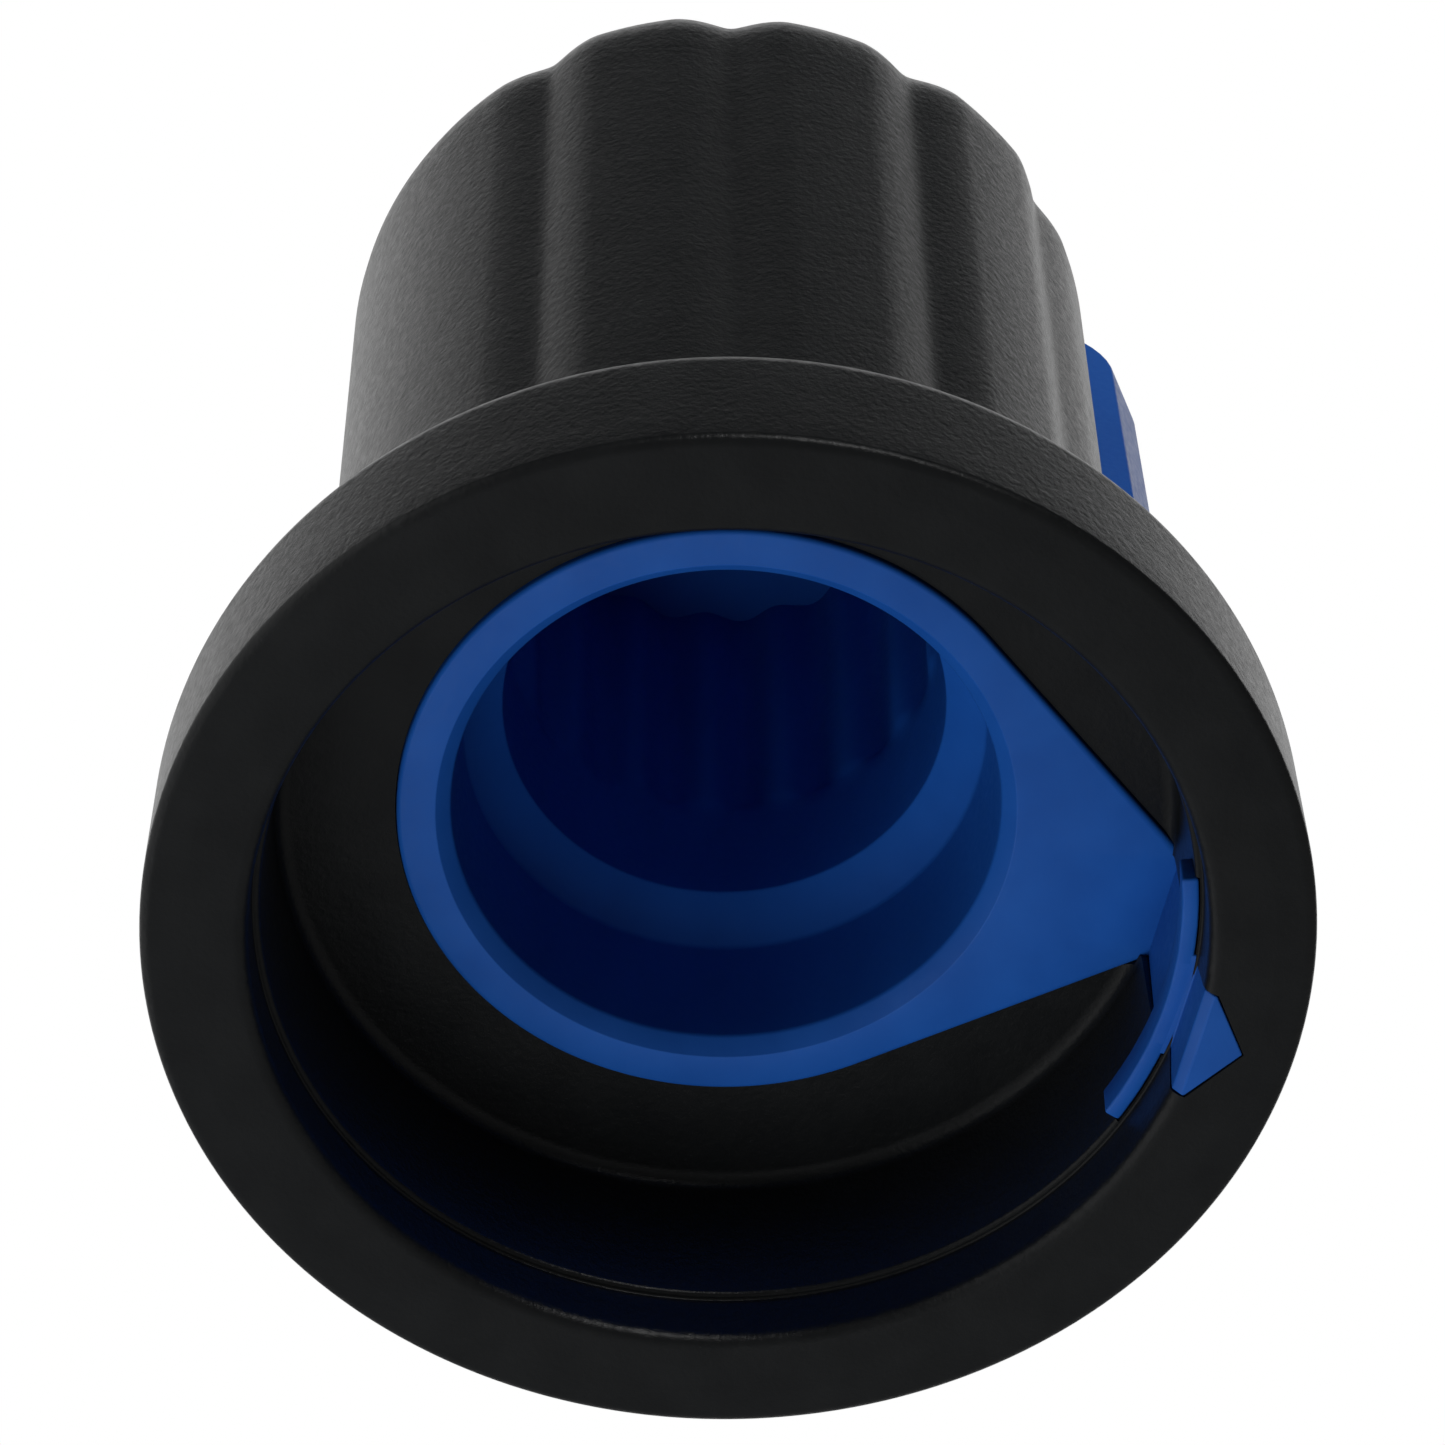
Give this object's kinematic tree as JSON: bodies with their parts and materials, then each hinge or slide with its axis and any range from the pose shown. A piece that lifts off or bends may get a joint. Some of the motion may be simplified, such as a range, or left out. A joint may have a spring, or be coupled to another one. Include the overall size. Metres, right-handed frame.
{
  "type": "rotary control knob",
  "caption": "Push-on rotary control knob: fluted black shell with a flared skirt, and a blue insert that is hub and pointer, for a 6 mm knurled shaft.",
  "frame": {"origin": "centre of the skirt's rim plane, where the shaft axis crosses it", "axes": "+Z along the shaft axis to the knob's top, -Y the way the pointer faces, +X to the right of the pointer when it is seen from the front"},
  "size_m": [0.015, 0.015, 0.017],
  "materials": {
    "black_plastic": "fine spark-eroded grain, satin black",
    "blue_plastic": "smooth satin, mid blue"
  },
  "bodies": {
    "root": {"knob_shell": "black_plastic", "pointer_insert": "blue_plastic"}
  },
  "joints": []
}
